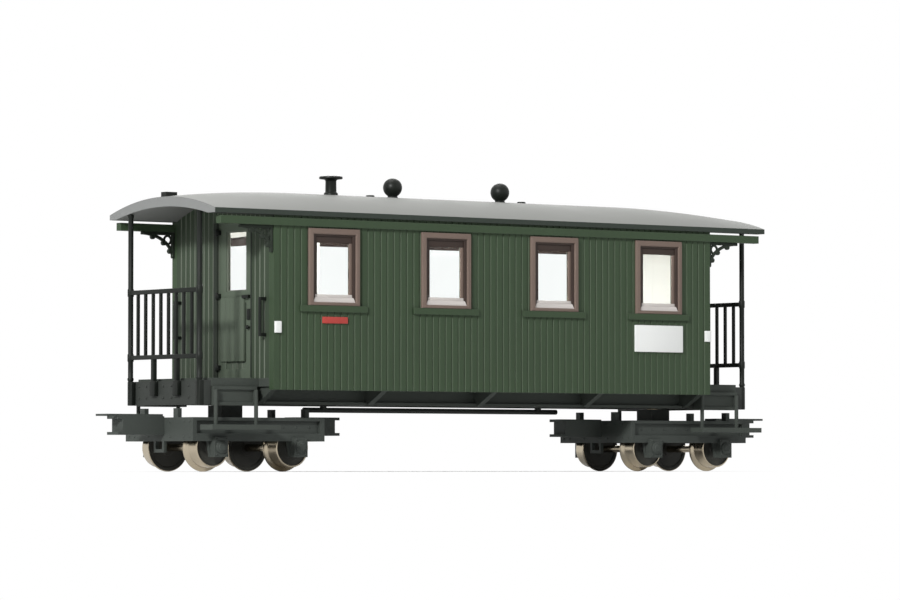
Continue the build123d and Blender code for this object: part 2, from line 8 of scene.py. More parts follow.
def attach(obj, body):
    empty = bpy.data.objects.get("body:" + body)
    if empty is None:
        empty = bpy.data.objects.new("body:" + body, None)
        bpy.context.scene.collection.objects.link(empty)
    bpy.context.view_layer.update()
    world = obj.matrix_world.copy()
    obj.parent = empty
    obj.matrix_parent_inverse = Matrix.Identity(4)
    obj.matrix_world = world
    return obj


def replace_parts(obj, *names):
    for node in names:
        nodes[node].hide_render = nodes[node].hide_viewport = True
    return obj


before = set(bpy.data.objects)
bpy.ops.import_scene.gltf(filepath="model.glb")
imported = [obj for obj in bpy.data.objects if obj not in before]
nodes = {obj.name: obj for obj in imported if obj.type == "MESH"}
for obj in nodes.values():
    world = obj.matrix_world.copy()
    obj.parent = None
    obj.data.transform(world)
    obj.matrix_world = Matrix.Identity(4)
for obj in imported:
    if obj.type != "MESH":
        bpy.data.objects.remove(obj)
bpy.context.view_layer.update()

MM = 0.001
UP = (0, 0, 1)
ENDS = (("left", -1), ("right", 1))
WALLS = (("near", -1), ("far", 1))

# Camera, fitted to the photograph: place in millimetres, angles in radians
CAMERA_PLACE = (-343.3, -457.1, 0.8)
CAMERA_YAW = 0.6449
CAMERA_PITCH = 0.0363
CAMERA_LENS = 181.8
SENSOR = 36.0
CLIP_START = 0.01

# Sizes that repeat those of the solids, in millimetres
HALF_L = 34.05
HALF_W = 11.0
EAVE_Z = 30.7
EDGE_T = 0.6
ROOF_RISE = 2.8
ROOF_END_RISE = 1.75
ROOF_HALF_L = 42.9
ROOF_HALF_W = 11.475
CROWN_T = 1.2
INNER_HALF_W = 10.0
RIDGE_Z = EAVE_Z + EDGE_T + ROOF_RISE
BOARD_Z = 29.45
AXLE_Z = 2.9
BOGIE_X = 33.6
WHEELBASE = 11.6
WINDOW_XS = (-25.35, -8.45, 8.45, 25.35)
FRAME_W = 7.5
FRAME_Z0 = 20.0
FRAME_Z1 = 29.3
FRAME_BAR = 0.95

# Colours, linear
GREEN = (0.039, 0.063, 0.033)
# Green of the end walls: the body's paint, painted darker as painted shade under the roof
GREEN_END_SHADED = (0.036, 0.052, 0.032)
# Lighter greens for faces set back from the outer face of the planks, the grooves among them:
# painted highlight on the lit flanks of the grooves
PAINTED_GROOVE_LIGHT = (0.061, 0.087, 0.052)
PAINTED_END_GROOVE_LIGHT = (0.125, 0.145, 0.113)
# Green of the doors: the body's paint, painted lighter as painted light
DOOR_GREEN_LIT = (0.086, 0.109, 0.079)
INSIDE = (0.70, 0.71, 0.68)
ROOF_GREY = (0.272, 0.276, 0.260)
FASCIA = (0.21, 0.215, 0.21)
# Underside of the roof over the platforms: lighter than the roof's edges, as painted light thrown up
# from below
SOFFIT_PAINTED_LIGHT = (0.16, 0.165, 0.155)
ROOF_EDGE = (0.034, 0.043, 0.035)
MAUVE = (0.164, 0.120, 0.098)
# Dark brown of the sashes and of the frames' inner rebates: partly the sash's own colour, partly
# painted shade in the recess
SASH_AND_SHADE = (0.040, 0.027, 0.022)
# Near-black green: painted shade on the scrollwork and painted shadow beside the doors
SHADE_GREEN = (0.017, 0.023, 0.016)
# Pale bottom of the window openings: a painted glint
LEDGE_GLINT = (0.60, 0.56, 0.53)
BLACK = (0.006, 0.008, 0.006)
DARK = (0.050, 0.058, 0.050)
BEAM = (0.034, 0.038, 0.034)
BOGIE = (0.048, 0.055, 0.049)
NICKEL = (0.46, 0.40, 0.30)
WHEEL_FACE = (0.040, 0.040, 0.034)
WHITE = (0.80, 0.81, 0.79)
RED = (0.42, 0.055, 0.045)
FLOOR_BROWN = (0.20, 0.15, 0.10)
SEAT_BROWN = (0.16, 0.10, 0.06)
# Pale colour of upward faces: dust, and where much of it is given, painted light on top edges
DUST_AND_TOP_LIGHT = (0.45, 0.44, 0.41)
GLASS = (0.97, 0.985, 0.98)
STUDIO_GREY = (0.9, 0.9, 0.9)
AMBIENT = (0.95, 0.97, 1.0)
BACKGROUND = (1, 1, 1)

# Where a second colour begins or ends on the solids, in millimetres from the frame's planes
SIDE_INSIDE, SIDE_GROOVE, CORNER = 10.05, 10.975, 34.0
END_INSIDE, END_GROOVE = 33.1, 34.03
DOOR_SUNK, DOOR_GROOVE = 33.2, 33.53
SOFFIT_EDGE = 9.99
FASCIA_BACK, FASCIA_FRONT = 42.85, 43.0
SALOON_END = 33.0
FLOOR_UNDERSIDE = 10.8


def material(name):
    """A new material with an empty node tree."""
    m = bpy.data.materials.new(name)
    m.use_nodes = True
    m.node_tree.nodes.clear()
    return m, m.node_tree.nodes, m.node_tree.links


def rgba(colour, times=1.0):
    """A colour made lighter or darker, with its alpha."""
    return (*[c * times for c in colour], 1)


def feed(link, socket, value):
    """Gives a socket a value of its own, or links another node's output to it."""
    if isinstance(value, bpy.types.NodeSocket):
        link.new(value, socket)
    else:
        socket.default_value = value


def calc(n, link, operation, *values):
    """The result of a Math node."""
    node = n.new("ShaderNodeMath")
    node.operation = operation
    for socket, value in zip(node.inputs, values):
        feed(link, socket, value)
    return node.outputs["Value"]


def mix(n, link, factor, first, second):
    """A colour between two others."""
    node = n.new("ShaderNodeMix")
    node.data_type = "RGBA"
    for name, value in (("Factor", factor), ("A", first), ("B", second)):
        feed(link, node.inputs[name], value)
    return node.outputs["Result"]


def remap(n, link, value, from_min, from_max, to_min, to_max, kind="LINEAR"):
    """A value carried over from one range into another, and held inside it."""
    node = n.new("ShaderNodeMapRange")
    node.interpolation_type = kind
    limits = {"From Min": from_min, "From Max": from_max, "To Min": to_min, "To Max": to_max}
    for name, limit in limits.items():
        node.inputs[name].default_value = limit
    link.new(value, node.inputs["Value"])
    return node.outputs["Result"]


def noise(n, link, coord, scale, detail):
    """The level of a noise texture."""
    node = n.new("ShaderNodeTexNoise")
    node.inputs["Scale"].default_value = scale
    node.inputs["Detail"].default_value = detail
    link.new(coord, node.inputs["Vector"])
    return node.outputs["Fac"]


def band(n, link, coord, axis, low, high):
    """One where the size of a coordinate lies between two values, in millimetres."""
    split = n.new("ShaderNodeSeparateXYZ")
    link.new(coord, split.inputs["Vector"])
    size = calc(n, link, "ABSOLUTE", split.outputs[axis])
    above = calc(n, link, "GREATER_THAN", size, low * MM)
    below = calc(n, link, "LESS_THAN", size, high * MM)
    return calc(n, link, "MULTIPLY", above, below)


def background_rays(n, link):
    """One for the rays that show the white background: seen directly, in gloss or through glass."""
    path = n.new("ShaderNodeLightPath")
    seen = path.outputs["Is Camera Ray"]
    for kind in ("Is Glossy Ray", "Is Transmission Ray"):
        seen = calc(n, link, "MAXIMUM", seen, path.outputs[kind])
    return seen


def blend(n, link, share, first, second):
    """One shader fading into another."""
    node = n.new("ShaderNodeMixShader")
    link.new(share, node.inputs["Fac"])
    link.new(first, node.inputs[1])
    link.new(second, node.inputs[2])
    return node.outputs["Shader"]


def plastic(name, colour, rough=0.5, vary=0.16, grain=2600.0, bump=0.12, dust_and_top_light=0.08, edge=0.06,
            metal=0.0, worn_and_lit=None, top=None, bands=()):
    """A painted or moulded surface: blotches, fine grain, softened edges with a paler colour that is
    partly wear and partly painted highlight, and a pale colour on top faces that is dust, and on
    the trim also painted light. Bands are (colour, axis, low, high), or with a second axis, low and
    high after these: another colour where the coordinates lie between the values. Top is the colour
    of the faces that look up."""
    m, n, link = material(name)
    out = n.new("ShaderNodeOutputMaterial")
    shader = n.new("ShaderNodeBsdfPrincipled")
    coord = n.new("ShaderNodeTexCoord").outputs["Object"]
    blotch = noise(n, link, coord, 160.0, 5.0)
    fine = noise(n, link, coord, grain, 3.0)

    def blotched(base):
        return mix(n, link, blotch, rgba(base, 1 - vary), rgba(base, 1 + vary))

    tone = blotched(colour)
    for second, *limits in bands:
        inside = band(n, link, coord, *limits[:3])
        if len(limits) > 3:
            inside = calc(n, link, "MULTIPLY", inside, band(n, link, coord, *limits[3:]))
        tone = mix(n, link, inside, tone, rgba(second))

    soft = n.new("ShaderNodeBevel")
    soft.inputs["Radius"].default_value = edge * MM
    soft.samples = 4
    geometry = n.new("ShaderNodeNewGeometry")
    turn = n.new("ShaderNodeVectorMath")
    turn.operation = "DOT_PRODUCT"
    link.new(soft.outputs["Normal"], turn.inputs[0])
    link.new(geometry.outputs["Normal"], turn.inputs[1])
    # The softened edges take a paler colour: partly wear, partly painted highlight along the edges
    wear_and_highlight = remap(n, link, turn.outputs["Value"], 0.995, 0.88, 0.0, 0.55)
    rubbed_and_lit = worn_and_lit or [min(1.0, c * 1.9 + 0.03) for c in colour]
    tone = mix(n, link, calc(n, link, "MULTIPLY", wear_and_highlight, fine), tone, rgba(rubbed_and_lit))

    facing = n.new("ShaderNodeSeparateXYZ")
    link.new(geometry.outputs["True Normal"], facing.inputs["Vector"])
    upward = facing.outputs["Z"]
    if top:
        tone = mix(n, link, remap(n, link, upward, 0.25, 0.45, 0.0, 1.0), tone, blotched(top))
    # A pale colour on upward faces: dust, and on the trim more of it as painted light along the top
    # edges
    if dust_and_top_light:
        settled_and_lit = remap(n, link, upward, 0.4, 1.0, 0.0, dust_and_top_light)
        tone = mix(n, link, calc(n, link, "MULTIPLY", settled_and_lit, blotch), tone, rgba(DUST_AND_TOP_LIGHT))
    link.new(tone, shader.inputs["Base Color"])

    sheen = remap(n, link, blotch, 0.0, 1.0, max(0.05, rough - 0.10), min(1.0, rough + 0.12))
    link.new(sheen, shader.inputs["Roughness"])
    shader.inputs["Metallic"].default_value = metal
    shader.inputs["Specular IOR Level"].default_value = 0.2

    relief = n.new("ShaderNodeBump")
    relief.inputs["Strength"].default_value = bump
    relief.inputs["Distance"].default_value = 0.03 * MM
    link.new(fine, relief.inputs["Height"])
    link.new(soft.outputs["Normal"], relief.inputs["Normal"])
    link.new(relief.outputs["Normal"], shader.inputs["Normal"])
    link.new(shader.outputs["BSDF"], out.inputs["Surface"])
    return m


def clear(name):
    """Thin moulded glazing with a faint smear."""
    m, n, link = material(name)
    out = n.new("ShaderNodeOutputMaterial")
    shader = n.new("ShaderNodeBsdfPrincipled")
    shader.inputs["Base Color"].default_value = rgba(GLASS)
    shader.inputs["Transmission Weight"].default_value = 1.0
    shader.inputs["IOR"].default_value = 1.15
    coord = n.new("ShaderNodeTexCoord").outputs["Object"]
    smear = remap(n, link, noise(n, link, coord, 220.0, 4.0), 0.0, 1.0, 0.0, 0.06)
    link.new(smear, shader.inputs["Roughness"])
    link.new(shader.outputs["BSDF"], out.inputs["Surface"])
    return m


M = {
    "green": plastic(
        "body_green", GREEN, rough=0.55, vary=0.14, worn_and_lit=(0.09, 0.12, 0.08),
        # Faces set back from the outer face of the planks: a lighter green as painted highlight in
        # the grooves
        bands=[(PAINTED_GROOVE_LIGHT, "Y", SIDE_INSIDE, SIDE_GROOVE, "X", 0.0, CORNER),
               (INSIDE, "Y", 0.0, SIDE_INSIDE, "X", 0.0, CORNER)]),
    # Cantrails and sills: wider softened edges, paler edges and paler upward faces, as painted
    # highlight along their top edges
    "trim_green": plastic(
        "trim_green", GREEN, rough=0.55, vary=0.14, edge=0.14, dust_and_top_light=0.2, worn_and_lit=(0.12, 0.15, 0.11)),
    # End walls: a darker copy of the body green, as painted shade under the roof
    "end_green_shaded": plastic(
        "end_green_shaded", GREEN_END_SHADED, rough=0.6, vary=0.14, worn_and_lit=(0.13, 0.16, 0.12),
        # Grooves of the end wall: lighter, as painted highlight
        bands=[(PAINTED_END_GROOVE_LIGHT, "X", END_INSIDE, END_GROOVE), (INSIDE, "X", 0.0, END_INSIDE)]),
    # Doors: a lighter copy of the body green, as painted light
    "door_green_lit": plastic(
        "door_green_lit", DOOR_GREEN_LIT, rough=0.6, vary=0.14, worn_and_lit=(0.13, 0.16, 0.12),
        # Grooves of the door planks: lighter, as painted highlight
        bands=[(PAINTED_END_GROOVE_LIGHT, "X", DOOR_SUNK, DOOR_GROOVE), (INSIDE, "X", 0.0, END_INSIDE)]),
    "roof": plastic(
        "roof_grey", ROOF_EDGE, rough=0.7, vary=0.08, grain=3400.0, bump=0.3, dust_and_top_light=0.0,
        top=ROOF_GREY,
        # The underside over the platforms is painted lighter, as painted light from below
        bands=[(SOFFIT_PAINTED_LIGHT, "Y", 0.0, SOFFIT_EDGE),
               (INSIDE, "X", 0.0, END_INSIDE, "Y", 0.0, SOFFIT_EDGE),
               (FASCIA, "X", FASCIA_BACK, FASCIA_FRONT)]),
    "frame": plastic("window_frame", MAUVE, rough=0.5, vary=0.12, worn_and_lit=(0.34, 0.25, 0.23)),
    "sash_and_shade": plastic("sash_brown_and_shade", SASH_AND_SHADE, rough=0.5, vary=0.14, worn_and_lit=(0.14, 0.10, 0.09)),
    "ledge_glint": plastic("window_ledge_glint", LEDGE_GLINT, rough=0.4, vary=0.06, worn_and_lit=(0.8, 0.76, 0.74)),
    "painted_shadow": plastic("shadow_green", SHADE_GREEN, rough=0.6, vary=0.16, worn_and_lit=(0.06, 0.08, 0.055)),
    "black": plastic("railing_black", BLACK, rough=0.5, vary=0.2),
    "dark": plastic("underframe_dark", DARK, rough=0.6, vary=0.18),
    "beam": plastic("end_beam_grey", BEAM, rough=0.6, vary=0.18),
    "bogie": plastic("bogie_grey", BOGIE, rough=0.55, vary=0.18),
    "floor": plastic(
        "floor_dark", DARK, rough=0.65, vary=0.22,
        bands=[(FLOOR_BROWN, "X", 0.0, SALOON_END), (DARK, "Z", 0.0, FLOOR_UNDERSIDE)]),
    "seat": plastic("seat_brown", SEAT_BROWN, rough=0.55, vary=0.2),
    "nickel": plastic(
        "wheel_nickel", NICKEL, rough=0.18, vary=0.08, bump=0.05, dust_and_top_light=0.0, metal=1.0,
        worn_and_lit=(0.8, 0.76, 0.68)),
    "disc": plastic("wheel_face", WHEEL_FACE, rough=0.45, vary=0.2),
    "fitting": plastic("fitting_black", BLACK, rough=0.4, vary=0.2),
    "white": plastic(
        "plate_white", WHITE, rough=0.45, vary=0.04, dust_and_top_light=0.0, worn_and_lit=(0.88, 0.88, 0.86)),
    "red": plastic("plate_red", RED, rough=0.42, vary=0.1, worn_and_lit=(0.6, 0.2, 0.18)),
    "clear": clear("glazing"),
}

NODE_MATERIALS = [
    # start of the node's name, material; the first that fits is taken
    ("roof_vents", "fitting"),
    ("roof", "roof"),
    ("side_wall", "green"),
    ("end_wall", "end_green_shaded"),
    ("end_door", "door_green_lit"),
    ("sill", "trim_green"),
    ("cantrail", "trim_green"),
    ("scroll", "trim_green"),
    ("window_frames", "frame"),
    ("window_panes", "clear"),
    ("door_panes", "clear"),
    ("floor", "floor"),
    ("seats", "seat"),
    ("underframe", "dark"),
    ("under_floor", "beam"),
    ("end_beams", "beam"),
    ("railing", "black"),
    ("steps", "dark"),
    ("handles", "black"),
    ("chimney", "fitting"),
    ("lamp", "fitting"),
    ("pivot", "nickel"),
    ("bogie", "bogie"),
    ("axle", "nickel"),
    ("wheels", "nickel"),
]
for name, obj in nodes.items():
    key = next(k for start, k in NODE_MATERIALS if name.startswith(start))
    obj.data.materials.clear()
    obj.data.materials.append(M[key])


def piece(name, bm, body, slot, *keys, smooth):
    """A finished piece that rides on a body; faces under the smooth angle are shaded as one."""
    mesh = bpy.data.meshes.new(name)
    bmesh.ops.recalc_face_normals(bm, faces=bm.faces[:])
    limit = math.radians(smooth)
    for edge in bm.edges:
        edge.smooth = len(edge.link_faces) == 2 and edge.calc_face_angle(0.0) < limit
    for face in bm.faces:
        face.smooth = True
    bm.to_mesh(mesh)
    bm.free()
    obj = bpy.data.objects.new(name, mesh)
    bpy.context.scene.collection.objects.link(obj)
    for key in keys:
        mesh.materials.append(M[key])
    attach(obj, body)
    return obj


def along(point, way):
    """A matrix at a point whose Z axis runs along a direction."""
    turn = Vector(way).to_track_quat("Z", "Y").to_matrix().to_4x4()
    return Matrix.Translation(Vector(point)) @ turn


def around(middle, half):
    """The two ends of a span, from its middle."""
    return middle - half, middle + half


def past(low, high, by):
    """The two ends of a span that is made longer at both."""
    return low - by, high + by


def lathe(bm, profile, place, steps):
    """Turns points about the local Z axis of a matrix, in millimetres. A point is (radius, height),
    or (radius, height, material) for the faces that lead up to it."""
    rings = []
    turns = [2 * math.pi * i / steps for i in range(steps)]
    for r, h, *_ in profile:
        if r < 1e-6:
            points = [(0, 0, h)]
        else:
            points = [(r * math.cos(a), r * math.sin(a), h) for a in turns]
        rings.append([bm.verts.new(place @ Vector(p) * MM) for p in points])
    for a, b, point in zip(rings, rings[1:], profile[1:]):
        for i in range(steps):
            j = (i + 1) % steps
            if len(a) == 1:
                face = bm.faces.new((a[0], b[i], b[j]))
            elif len(b) == 1:
                face = bm.faces.new((a[i], b[0], a[j]))
            else:
                face = bm.faces.new((a[i], b[i], b[j], a[j]))
            face.material_index = point[2] if len(point) > 2 else 0


def rivet(bm, point, way, r, h):
    """A small round head."""
    head = [(r, 0.0), (r, h * 0.35), (r * 0.8, h * 0.75), (r * 0.4, h * 0.97), (0, h)]
    lathe(bm, head, along(point, way), 14)


def soft_box(bm, xs, ys, zs, r, index=0):
    """A box between two values of each coordinate, with rounded edges, in millimetres."""
    made = bmesh.ops.create_cube(bm, size=1.0)["verts"]
    for v in made:
        v.co = Vector([a + (c + 0.5) * (b - a) for (a, b), c in zip((xs, ys, zs), v.co)]) * MM
    edges = list(dict.fromkeys(e for v in made for e in v.link_edges))
    before = set(bm.faces)
    bmesh.ops.bevel(bm, geom=edges, offset=r * MM, segments=2, profile=0.6, affect="EDGES")
    for face in bm.faces:
        if face not in before:
            face.material_index = index


def flat_bar(bm, path, wide, y0, y1, closed=False, chamfer=0.06):
    """A chamfered flat bar along a path of (x, z) points, between two values of y."""
    rings = []
    count = len(path)
    for i, (x, z) in enumerate(path):
        if closed:
            before, after = path[i - 1], path[(i + 1) % count]
        else:
            before, after = path[max(0, i - 1)], path[min(count - 1, i + 1)]
        way = Vector((after[0] - before[0], after[1] - before[1])).normalized()
        side = Vector((-way.y, way.x)) * wide / 2
        thin = side * (1 - 2 * chamfer / wide)
        section = [(side, y0 + chamfer), (side, y1 - chamfer), (thin, y1), (-thin, y1),
                   (-side, y1 - chamfer), (-side, y0 + chamfer), (-thin, y0), (thin, y0)]
        rings.append([bm.verts.new(Vector((x + s.x, y, z + s.y)) * MM) for s, y in section])
    pairs = list(zip(rings, rings[1:])) + ([(rings[-1], rings[0])] if closed else [])
    for a, b in pairs:
        for i in range(8):
            j = (i + 1) % 8
            bm.faces.new((a[i], a[j], b[j], b[i]))
    if not closed:
        bm.faces.new(rings[0])
        bm.faces.new(list(reversed(rings[-1])))


def arc(half, low, rise, count):
    """Points of a shallow arc from one side to the other."""
    radius = (half * half + rise * rise) / (2 * rise)
    reach = math.asin(half / radius)
    turns = [reach * (2 * i / (count - 1) - 1) for i in range(count)]
    return [(radius * math.sin(a), low + rise - radius + radius * math.cos(a)) for a in turns]


def at_both_ends(build, *meshes):
    """Builds something at the left end, and once more turned round for the right end."""
    for turn in (0.0, math.pi):
        there = Matrix.Rotation(turn, 4, "Z")
        earlier = [set(bm.verts) for bm in meshes]
        build(*meshes)
        for bm, before in zip(meshes, earlier):
            for v in bm.verts:
                if v not in before:
                    v.co = there @ v.co


# Wheels: (radius, distance from the middle of the axle); back and front are dark, the tread bright
WHEEL_BACK = [
    (0.45, 3.72), (0.9, 3.72), (0.95, 3.78), (2.3, 3.82), (2.36, 3.74), (2.42, 3.70), (2.80, 3.70),
]
WHEEL_TREAD = [
    (2.87, 3.74), (2.9, 3.84), (2.88, 3.95), (2.78, 4.08), (2.56, 4.18), (2.46, 4.26),
    (2.42, 4.38), (2.39, 5.74), (2.36, 5.85), (2.3, 5.9), (2.2, 5.9),
]
WHEEL_FRONT = [
    (2.17, 5.87), (2.12, 5.72), (2.0, 5.66), (1.0, 5.58), (0.94, 5.62), (0.88, 5.78), (0.8, 5.83),
    (0.45, 5.83),
]
wheel = [(*p, 1) for p in WHEEL_BACK] + WHEEL_TREAD + [(*p, 1) for p in WHEEL_FRONT]
for side, sign in ENDS:
    for end, out in (("outer", 1), ("inner", -1)):
        bm = bmesh.new()
        x = sign * (BOGIE_X + out * WHEELBASE / 2)
        for way in (-1, 1):
            lathe(bm, wheel, along((x, 0, AXLE_Z), (0, way, 0)), 96)
        wheels = piece(f"turned_wheels_{side}_{end}", bm, f"wheelset_{side}_{end}", "nickel",
                       "nickel", "disc", smooth=40)
        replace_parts(wheels, f"wheels_{side}_{end}")

# Roof skin: the arc flattens smoothly towards both ends
DROOP_FROM = 25.0
STATION_STEP, STATION_COUNT = 1.1, 17
CROWN_POINTS, CEILING_POINTS = 49, 33
bm = bmesh.new()
loops = []
stations = [-ROOF_HALF_L + STATION_STEP * i for i in range(STATION_COUNT)]
for x in stations + [0.0] + [-s for s in reversed(stations)]:
    droop = max(0.0, abs(x) - DROOP_FROM) / (ROOF_HALF_L - DROOP_FROM)
    outside = max(0.0, abs(x) - HALF_L) / (ROOF_HALF_L - HALF_L)
    rise = ROOF_RISE - (ROOF_RISE - ROOF_END_RISE) * droop ** 2
    ceiling = ROOF_RISE + EDGE_T - CROWN_T - (ROOF_RISE - ROOF_END_RISE) * outside
    outline = arc(ROOF_HALF_W, EAVE_Z + EDGE_T, rise, CROWN_POINTS)
    outline += [(ROOF_HALF_W, EAVE_Z)]
    outline += list(reversed(arc(INNER_HALF_W, EAVE_Z, ceiling, CEILING_POINTS)))
    outline += [(-ROOF_HALF_W, EAVE_Z)]
    loops.append([bm.verts.new(Vector((x, y, z)) * MM) for y, z in outline])
for a, b in zip(loops, loops[1:]):
    for i in range(len(a)):
        j = (i + 1) % len(a)
        bm.faces.new((a[i], a[j], b[j], b[i]))
for ring in (loops[0], loops[-1]):
    bm.faces.new(ring)
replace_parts(piece("roof_skin", bm, "coach", "roof_grey", "roof", smooth=30), "roof")

# Scroll brackets: flat bars bent to an arch, a ring in the corner and small bosses.
# Each bar is a little thinner than the one before, so that no two faces lie in one plane.
BRACKET_L, BRACKET_H, BRACKET_BAR = 4.8, 3.2, 0.38
BRACKET_Y0, BRACKET_Y1 = 10.42, 10.88
BAR_END = 0.1
ARCH_STEPS = 20
RING_AT, RING_R, RING_BAR, RING_STEPS = 0.95, 0.5, 0.26, 24
BOSS_IN = 0.22
BOSS_PROFILE = [(0.0, 0.0), (0.26, 0.0), (0.32, 0.06), (0.32, 0.4), (0.26, 0.46), (0.0, 0.46)]


def scroll_spot(sign, out, down):
    """A point of a bracket: how far out from the end wall, and down from the cantrail."""
    return sign * (HALF_L + out), BOARD_Z - down


def scroll_bracket(bm, sign, y0, y1):
    half = BRACKET_BAR / 2
    reach, drop = BRACKET_L - half, BRACKET_H - half
    upright = [(half, 0.02), (half, BRACKET_H - BAR_END)]
    level = [(0.02, half), (BRACKET_L - BAR_END, half)]
    turns = [math.radians(90 * i / ARCH_STEPS) for i in range(ARCH_STEPS + 1)]
    arch = [(BRACKET_L - reach * math.cos(a), BRACKET_H - drop * math.sin(a)) for a in turns]
    turns = [2 * math.pi * i / RING_STEPS for i in range(RING_STEPS)]
    ring = [(RING_AT + RING_R * math.cos(a), RING_AT + RING_R * math.sin(a)) for a in turns]
    for points, wide, thinner, closed in ((upright, BRACKET_BAR, 0.0, False),
                                          (level, BRACKET_BAR, 0.03, False),
                                          (arch, BRACKET_BAR, 0.06, False),
                                          (ring, RING_BAR, 0.09, True)):
        path = [scroll_spot(sign, *p) for p in points]
        flat_bar(bm, path, wide, y0 + thinner, y1 - thinner, closed=closed)
    for degrees in (18, 42, 68):
        a = math.radians(degrees)
        x, z = scroll_spot(sign, BRACKET_L - (reach - BOSS_IN) * math.cos(a),
                           BRACKET_H - (drop - BOSS_IN) * math.sin(a))
        lathe(bm, BOSS_PROFILE, along((x, y0, z), (0, 1, 0)), 16)


bm = bmesh.new()
for sx in (-1, 1):
    for sy in (-1, 1):
        scroll_bracket(bm, sx, *sorted((sy * BRACKET_Y0, sy * BRACKET_Y1)))
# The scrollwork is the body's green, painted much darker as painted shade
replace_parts(piece("scrollwork", bm, "coach", "green_plank", "painted_shadow", smooth=40), "scroll_brackets")

# Chimney and ventilators: (radius, height above the ridge)
CHIMNEY_X = -17.9
CHIMNEY_PROFILE = [
    (0.0, -0.3), (0.86, -0.3), (0.88, 0.1), (0.86, 0.26), (0.76, 0.36), (0.7, 0.42), (0.68, 1.75),
    (0.72, 1.86), (0.84, 1.96), (1.38, 2.02), (1.46, 2.08), (1.47, 2.2), (1.42, 2.32), (1.2, 2.38),
    (0.6, 2.43), (0.0, 2.45),
]
bm = bmesh.new()
lathe(bm, CHIMNEY_PROFILE, along((CHIMNEY_X, 0, RIDGE_Z), UP), 48)
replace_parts(piece("turned_chimney", bm, "coach", "fitting_grey", "fitting", smooth=40), "chimney")

BALL_R, BALL_H = 1.2, 1.3
BALL_FROM, BALL_STEPS = -58, 14
BALL_NECK = [(0.0, -0.3), (0.66, -0.3), (0.66, 0.1), (0.6, 0.2)]
PLUG_PROFILE = [(0.0, -0.3), (0.55, -0.3), (0.55, 0.16), (0.48, 0.23), (0.0, 0.25)]
PLUG_BESIDE = 3.45
turns = [math.radians(BALL_FROM + i * (90 - BALL_FROM) / BALL_STEPS) for i in range(BALL_STEPS)]
ball = BALL_NECK + [(BALL_R * math.cos(a), BALL_H + BALL_R * math.sin(a)) for a in turns]
ball.append((0.0, BALL_H + BALL_R))
bm = bmesh.new()
for x in WINDOW_XS[1:3]:
    lathe(bm, ball, along((x, 0, RIDGE_Z), UP), 48)
for x in past(*WINDOW_XS[1:3], PLUG_BESIDE):
    lathe(bm, PLUG_PROFILE, along((x, 0, RIDGE_Z), UP), 32)
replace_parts(piece("turned_vents", bm, "coach", "fitting_grey", "fitting", smooth=40), "roof_vents")

# Window frames: mitred mouldings with steep sides, a weathered top, an inner rebate painted dark as
# painted shade in the recess, and a pale ledge along its bottom as a painted glint
MOULDING = [
    # inset at the sides, along the bottom, along the top, height over the wall
    (0.00, 0.00, 0.00, 0.00),
    (0.00, 0.00, 0.03, 0.26),
    (0.06, 0.06, 0.34, 0.38),
    (0.34, 0.22, 0.50, 0.44),
    (0.52, 0.30, 0.62, 0.44),
    (0.60, 0.36, 0.70, 0.40),
    (0.64, 0.40, 0.74, 0.24),
    (0.88, 0.90, 0.90, 0.21),
    (0.98, 0.98, 0.98, 0.15),
    (0.98, 0.98, 0.98, -0.25),
    (0.50, 0.50, 0.50, -0.30),
    (0.50, 0.50, 0.50, 0.00),
]
REBATE = range(6, 9)
for name, way in WALLS:
    bm = bmesh.new()
    for x in WINDOW_XS:
        loops = []
        for inset, low, high, proud in MOULDING:
            x0, x1 = x - FRAME_W / 2 + inset, x + FRAME_W / 2 - inset
            z0, z1 = FRAME_Z0 + low, FRAME_Z1 - high
            y = way * (HALF_W + proud)
            corners = ((x0, y, z0), (x1, y, z0), (x1, y, z1), (x0, y, z1))
            loops.append([bm.verts.new(Vector(p) * MM) for p in corners])
        for step, (a, b) in enumerate(zip(loops, loops[1:] + loops[:1])):
            for i in range(4):
                face = bm.faces.new((a[i], a[(i + 1) % 4], b[(i + 1) % 4], b[i]))
                # Rebate faces: the bottom pale as a painted glint, the other sides dark as painted
                # shade in the recess
                if step in REBATE:
                    face.material_index = 1 if i == 0 else 2
    frames = piece(f"mouldings_{name}", bm, "coach", "red_brown", "frame", "ledge_glint", "sash_and_shade",
                   smooth=25)
    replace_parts(frames, f"window_frames_{name}")

